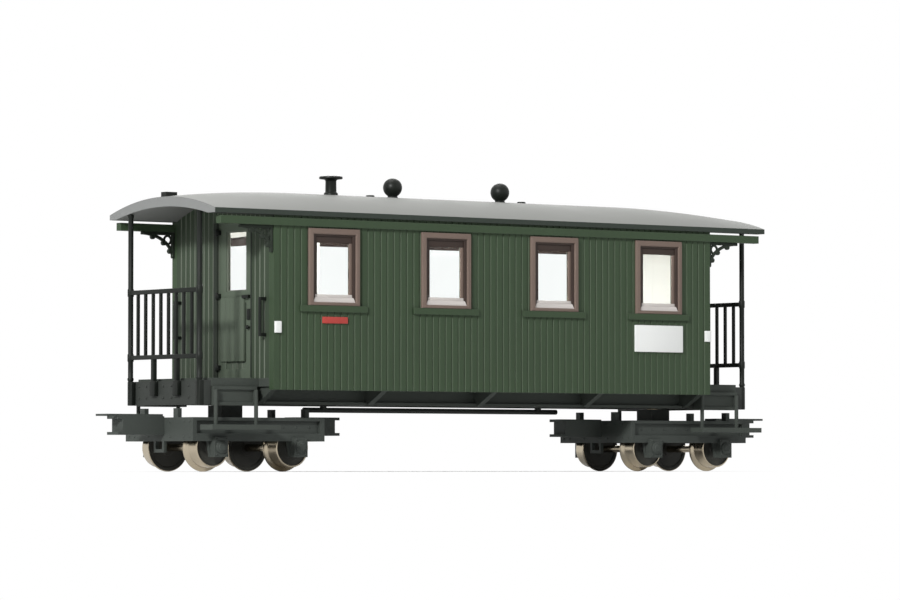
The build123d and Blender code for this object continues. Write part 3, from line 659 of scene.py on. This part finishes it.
# Sashes: a thin dark brown bar round each pane, deeper at the top, its dark partly painted shade of
# the recess, with a right side in mauve as painted light and a pale bottom as a painted glint; thin
# panes in the middle of them
SASH_SIDE, SASH_TOP, SASH_LOW = 0.42, 0.8, 0.4
SASH_BACK, SASH_FRONT, SASH_EDGE = 0.1, 0.24, 0.07
SIDE_THINNER = 0.03
PANE_Y, PANE_T, PANE_EDGE = 10.78, 0.08, 0.02
LAP = 0.05
clear_z0, clear_z1 = FRAME_Z0 + FRAME_BAR, FRAME_Z1 - FRAME_BAR
for name, way in WALLS:
    bars = bmesh.new()
    panes = bmesh.new()
    for x in WINDOW_XS:
        x0, x1 = x - FRAME_W / 2 + FRAME_BAR, x + FRAME_W / 2 - FRAME_BAR
        ys = sorted((way * (PANE_Y - SASH_BACK), way * (PANE_Y + SASH_FRONT)))
        thinner = past(*ys, -SIDE_THINNER)
        zs = (clear_z0, clear_z1)
        # Left and top bars dark brown, partly painted shade; right bar in frame mauve as painted
        # light; bottom bar pale as a painted glint
        soft_box(bars, (x0 - LAP, x0 + SASH_SIDE), thinner, zs, SASH_EDGE, 0)
        soft_box(bars, (x1 - SASH_SIDE, x1 + LAP), thinner, zs, SASH_EDGE, 1)
        soft_box(bars, (x0, x1), ys, (clear_z1 - SASH_TOP, clear_z1 + LAP), SASH_EDGE)
        soft_box(bars, (x0, x1), ys, (clear_z0 - LAP, clear_z0 + SASH_LOW), SASH_EDGE, 2)
        ys = sorted((way * PANE_Y, way * (PANE_Y + PANE_T)))
        soft_box(panes, past(x0, x1, LAP), ys, past(*zs, LAP), PANE_EDGE)
    piece(f"sashes_{name}", bars, "coach", "red_brown", "sash_and_shade", "frame", "ledge_glint", smooth=50)
    panes = piece(f"thin_panes_{name}", panes, "coach", "clear_pane", "clear", smooth=50)
    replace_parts(panes, f"window_panes_{name}")

# Door panes: thin sheets with a small beading round them
DOOR_YS, DOOR_ZS = (-4.675, -0.425), (21.8, 29.1)
DOOR_PANE_XS = (-33.46, -33.38)
BEAD_XS, BEAD, BEAD_EDGE = (-33.66, -33.4), 0.16, 0.06
BEAD_PAST = 0.14


def door_glazing(beads, panes):
    soft_box(panes, DOOR_PANE_XS, past(*DOOR_YS, LAP), past(*DOOR_ZS, LAP), PANE_EDGE)
    for y in DOOR_YS:
        soft_box(beads, BEAD_XS, around(y, BEAD), past(*DOOR_ZS, BEAD), BEAD_EDGE)
    for z in DOOR_ZS:
        soft_box(beads, BEAD_XS, past(*DOOR_YS, BEAD_PAST), around(z, BEAD), BEAD_EDGE)


beads = bmesh.new()
panes = bmesh.new()
at_both_ends(door_glazing, beads, panes)
# Turned meshes need fresh normals before piece() faces them outwards. The panes go without: it would
# change what is seen through the right-hand door, so the faces of that pane look inwards.
beads.normal_update()
piece("door_beads", beads, "coach", "green_plank", "end_green_shaded", smooth=50)
panes = piece("thin_door_panes", panes, "coach", "clear_pane", "clear", smooth=50)
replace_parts(panes, "door_panes")

# Raised planked panels on the doors, and dark strips along both edges of the doors as painted shadow
PANEL_XS, PANEL_ZS = (-34.0, -33.6), (13.3, 21.1)
PLANKS, PLANK_PITCH, PLANK_W, PLANK_FROM = 5, 0.98, 0.96, -4.45
JAMB_SHADOW_ZS = (11.3, 30.2)


def door_woodwork(panels, jamb_shadows):
    for i in range(PLANKS):
        y = PLANK_FROM + PLANK_PITCH * i
        soft_box(panels, PANEL_XS, (y, y + PLANK_W), PANEL_ZS, 0.09)
    # Dark strips standing out beside the door edges: painted shadow
    soft_box(jamb_shadows, (-34.13, -33.9), (1.0, 1.85), JAMB_SHADOW_ZS, 0.05)
    soft_box(jamb_shadows, (-34.1, -33.9), (-6.35, -6.05), JAMB_SHADOW_ZS, 0.04)


panels = bmesh.new()
jamb_shadows = bmesh.new()
at_both_ends(door_woodwork, panels, jamb_shadows)
panels.normal_update()
jamb_shadows.normal_update()
piece("door_panels", panels, "coach", "green_plank", "door_green_lit", smooth=50)
piece("door_jamb_shadows", jamb_shadows, "coach", "green_plank", "painted_shadow", smooth=50)

# Railings: round posts with collars, square rails and pickets with softened edges. Here and on the
# doors turned pieces come before boxes, so that the order of the mesh is the same in every run.
POST_X, POST_Y, POST_R = 42.4, 7.5, 0.32
COLLAR_R, CAP_R = 0.39, 0.37
BEAM_Z0, BEAM_Z1 = 8.0, 10.9
TOP_RAIL, LOW_RAIL, RAIL = 21.7, 13.8, 0.27
PICKETS, PICKET = 8, 0.18
SHOE_XS, SHOE_OUT, SHOE_IN = (-42.6, -41.98), 0.4, 0.55
STRUT_XS, STRUT_Y, STRUT = (-42.58, -42.02), 2.5, 0.28
post = [(0.0, BEAM_Z0), (POST_R, BEAM_Z0), (POST_R, BEAM_Z1 + 0.1), (COLLAR_R, BEAM_Z1 + 0.2),
        (COLLAR_R, BEAM_Z1 + 0.4), (POST_R, BEAM_Z1 + 0.5)]
for z in (LOW_RAIL, TOP_RAIL):
    post += [(POST_R, z - 0.5), (COLLAR_R, z - 0.4), (COLLAR_R, z + 0.4), (POST_R, z + 0.5)]
post += [(POST_R, 30.8), (CAP_R, 30.9), (CAP_R, 31.22), (0.0, 31.22)]
for side, turn in (("left", 0.0), ("right", math.pi)):
    bm = bmesh.new()
    for y in (-POST_Y, POST_Y):
        lathe(bm, post, along((-POST_X, y, 0), UP), 24)
    for way in (-1, 1):
        ys = sorted((way * (POST_Y - SHOE_IN), way * (POST_Y + SHOE_OUT)))
        soft_box(bm, SHOE_XS, ys, (BEAM_Z0, BEAM_Z1), 0.08)
    for z in (LOW_RAIL, TOP_RAIL):
        soft_box(bm, around(-POST_X, RAIL), (-POST_Y, POST_Y), around(z, RAIL), 0.09)
    for i in range(1, PICKETS + 1):
        y = POST_Y * (2 * i / (PICKETS + 1) - 1)
        soft_box(bm, around(-POST_X, PICKET), around(y, PICKET), (LOW_RAIL, TOP_RAIL), 0.08)
    for y in (-STRUT_Y, STRUT_Y):
        soft_box(bm, STRUT_XS, around(y, STRUT), (BEAM_Z1 - 0.2, LOW_RAIL), 0.08)
        soft_box(bm, SHOE_XS, around(y, SHOE_IN), (9.1, BEAM_Z1 + 0.02), 0.09)
    turned = Matrix.Rotation(turn, 3, "Z")
    bmesh.ops.rotate(bm, verts=bm.verts[:], cent=(0, 0, 0), matrix=turned)
    railing = piece(f"fine_railing_{side}", bm, "coach", "black_plastic", "black", smooth=40)
    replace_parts(railing, f"railing_{side}")


# Bare plates on the photographed side
def plate(bm, xs, zs, proud, r):
    """A plate that stands out from the near wall and is let a little into it."""
    soft_box(bm, xs, (-HALF_W - proud, -HALF_W + LAP), zs, r)


bm = bmesh.new()
plate(bm, (21.5, 29.3), (15.15, 18.55), 0.28, 0.08)
for x0 in (-34.0, 33.1):
    plate(bm, (x0, x0 + 0.9), (16.6, 18.0), 0.3, 0.08)
piece("white_plates", bm, "coach", "green_plank", "white", smooth=50)
bm = bmesh.new()
plate(bm, (-27.0, -23.3), (17.85, 18.65), 0.2, 0.06)
piece("red_plate", bm, "coach", "red_brown", "red", smooth=50)

# Door fittings: hinges on one edge, a lock case and a knob on the other
HINGE_ZS = (12.6, 21.3, 29.0)
HINGE_PIN = [(0.0, -0.45), (0.16, -0.45), (0.2, -0.4), (0.2, 0.4), (0.16, 0.45), (0.0, 0.45)]
KNOB_PROFILE = [
    (0.0, 0.0), (0.12, 0.0), (0.12, 0.2), (0.24, 0.26), (0.26, 0.4), (0.18, 0.5), (0.0, 0.52),
]
FITTING_BACK = -HALF_L + 0.35
FITTING_EDGE = 0.07


def door_pins(bm):
    for z in HINGE_ZS:
        lathe(bm, HINGE_PIN, along((-HALF_L - 0.16, 1.0, z), UP), 16)
    lathe(bm, KNOB_PROFILE, along((-HALF_L + 0.32, -5.4, 17.4), (-1, 0, 0)), 20)


def door_leaves(bm):
    for z in HINGE_ZS:
        leaf = (-HALF_L - 0.14, FITTING_BACK)
        soft_box(bm, leaf, (0.7, 1.45), around(z, 0.3), FITTING_EDGE)
    soft_box(bm, (-HALF_L + 0.08, FITTING_BACK), (-5.75, -5.05), (18.3, 19.6), FITTING_EDGE)


bm = bmesh.new()
at_both_ends(door_pins, bm)
at_both_ends(door_leaves, bm)
bm.normal_update()
piece("door_fittings", bm, "coach", "black_plastic", "black", smooth=50)

# Axle box covers with their bolts
COVER_PROFILE = [
    (0.0, -0.05), (0.8, -0.05), (0.8, 0.1), (0.72, 0.18), (0.5, 0.22), (0.44, 0.3), (0.0, 0.32),
]
COVER_Y, COVER_UP = 7.8, 0.05
BOLT_Y, BOLT_XS, BOLT_ZS = 7.78, (-0.7, 0.7), (-0.85, 0.95)
for side, sign in ENDS:
    bm = bmesh.new()
    for x in around(sign * BOGIE_X, WHEELBASE / 2):
        for way in (-1, 1):
            face = (0, way, 0)
            lathe(bm, COVER_PROFILE, along((x, way * COVER_Y, AXLE_Z + COVER_UP), face), 32)
            for dx in BOLT_XS:
                for dz in BOLT_ZS:
                    rivet(bm, (x + dx, way * BOLT_Y, AXLE_Z + dz), face, 0.13, 0.12)
    piece(f"axle_covers_{side}", bm, f"bogie_{side}", "bogie_grey", "bogie", smooth=40)

# Rivets on the end beams, the headstocks and the side frames of the bogies
BEAM_FACE_X, BEAM_RIVET_YS, BEAM_RIVET_ZS = 42.0, (-6.2, -4.6, -0.9, 0.9, 4.6, 6.2), (8.9, 10.3)
HEAD_FACE_X, HEAD_RIVET_YS, HEAD_RIVET_ZS = 9.6, (-6.6, -5.4, -2.4, 2.4, 5.4, 6.6), (4.2, 6.0)
FRAME_FACE_Y, FRAME_RIVET_Z = 6.8, 5.35
FRAME_RIVETS, FRAME_RIVET_PITCH = 9, 1.9
bm = bmesh.new()
for sign in (-1, 1):
    for y in BEAM_RIVET_YS:
        for z in BEAM_RIVET_ZS:
            rivet(bm, (sign * BEAM_FACE_X, y, z), (sign, 0, 0), 0.16, 0.12)
piece("beam_rivets", bm, "coach", "black_plastic", "beam", smooth=40)
for side, sign in ENDS:
    bm = bmesh.new()
    for out in (-1, 1):
        for y in HEAD_RIVET_YS:
            for z in HEAD_RIVET_ZS:
                x = sign * BOGIE_X + out * HEAD_FACE_X
                rivet(bm, (x, y, z), (out, 0, 0), 0.14, 0.1)
    for way in (-1, 1):
        for i in range(FRAME_RIVETS):
            x = sign * BOGIE_X + (i - FRAME_RIVETS // 2) * FRAME_RIVET_PITCH
            rivet(bm, (x, way * FRAME_FACE_Y, FRAME_RIVET_Z), (0, way, 0), 0.13, 0.1)
    piece(f"frame_rivets_{side}", bm, f"bogie_{side}", "bogie_grey", "bogie", smooth=40)

# Floor: matt under the coach, fading into the white background round it; sizes in metres
FLOOR_REACH, FLOOR_STEPS = 0.9, 96
FADE_X, FADE_Y = 0.056, 0.026
FADE_FROM, FADE_TO = 0.5, 1.02
floor_mesh = bpy.data.meshes.new("studio_floor")
turns = [2 * math.pi * i / FLOOR_STEPS for i in range(FLOOR_STEPS)]
rim = [(FLOOR_REACH * math.cos(a), FLOOR_REACH * math.sin(a), 0) for a in turns]
floor_mesh.from_pydata(rim, [], [tuple(range(FLOOR_STEPS))])
floor = bpy.data.objects.new("studio_floor", floor_mesh)
bpy.context.scene.collection.objects.link(floor)
m, n, link = material("studio_floor")
out = n.new("ShaderNodeOutputMaterial")
matt = n.new("ShaderNodeBsdfDiffuse")
matt.inputs["Color"].default_value = rgba(STUDIO_GREY)
glow = n.new("ShaderNodeEmission")
glow.inputs["Strength"].default_value = 1.0
where = n.new("ShaderNodeNewGeometry")
shrink = n.new("ShaderNodeVectorMath")
shrink.operation = "MULTIPLY"
shrink.inputs[1].default_value = (1 / FADE_X, 1 / FADE_Y, 0.0)
away = n.new("ShaderNodeVectorMath")
away.operation = "LENGTH"
link.new(where.outputs["Position"], shrink.inputs[0])
link.new(shrink.outputs["Vector"], away.inputs[0])
fade = remap(n, link, away.outputs["Value"], FADE_FROM, FADE_TO, 0.0, 1.0, "SMOOTHSTEP")
share = calc(n, link, "MULTIPLY", fade, background_rays(n, link))
faded = blend(n, link, share, matt.outputs["BSDF"], glow.outputs["Emission"])
link.new(faded, out.inputs["Surface"])
floor_mesh.materials.append(m)

# World: soft ambient light, white where it is seen
AMBIENT_STRENGTH = 0.26
world = bpy.data.worlds.new("studio")
bpy.context.scene.world = world
world.use_nodes = True
n, link = world.node_tree.nodes, world.node_tree.links
n.clear()
out = n.new("ShaderNodeOutputWorld")
ambient = n.new("ShaderNodeBackground")
ambient.inputs["Color"].default_value = rgba(AMBIENT)
ambient.inputs["Strength"].default_value = AMBIENT_STRENGTH
white = n.new("ShaderNodeBackground")
white.inputs["Color"].default_value = rgba(BACKGROUND)
white.inputs["Strength"].default_value = 1.0
sky = blend(n, link, background_rays(n, link), ambient.outputs["Background"],
            white.outputs["Background"])
link.new(sky, out.inputs["Surface"])

# Lamps, in metres and watts
COACH_MIDDLE = (0, 0, 0.018)
LAMPS = [
    # name, place, aim, size, power
    ("key", (-0.82, -0.42, 0.40), COACH_MIDDLE, 0.12, 8.9),
    ("fill", (0.45, -0.75, 0.4), COACH_MIDDLE, 0.6, 0.7),
    ("top", (-0.1, 0.2, 0.9), COACH_MIDDLE, 0.6, 2.7),
    ("back", (0.50, 0.68, 0.45), COACH_MIDDLE, 0.5, 3.2),
    ("saloon_left", (-0.017, 0, 0.0305), (-0.017, 0, 0.0), 0.014, 0.007),
    ("saloon_right", (0.017, 0, 0.0305), (0.017, 0, 0.0), 0.014, 0.007),
]
for name, place, aim, size, power in LAMPS:
    lamp = bpy.data.lights.new(name, "AREA")
    lamp.shape = "DISK"
    lamp.size = size
    lamp.energy = power
    obj = bpy.data.objects.new(name, lamp)
    obj.location = place
    obj.rotation_euler = (Vector(aim) - Vector(place)).to_track_quat("-Z", "Y").to_euler()
    bpy.context.scene.collection.objects.link(obj)

camera = bpy.data.cameras.new("camera")
camera.lens = CAMERA_LENS
camera.sensor_width = SENSOR
camera.clip_start = CLIP_START
camera_object = bpy.data.objects.new("camera", camera)
camera_object.location = Vector(CAMERA_PLACE) * MM
camera_object.rotation_euler = (math.pi / 2 + CAMERA_PITCH, 0, -CAMERA_YAW)
bpy.context.scene.collection.objects.link(camera_object)
bpy.context.scene.camera = camera_object
bpy.context.scene.view_settings.view_transform = "Standard"
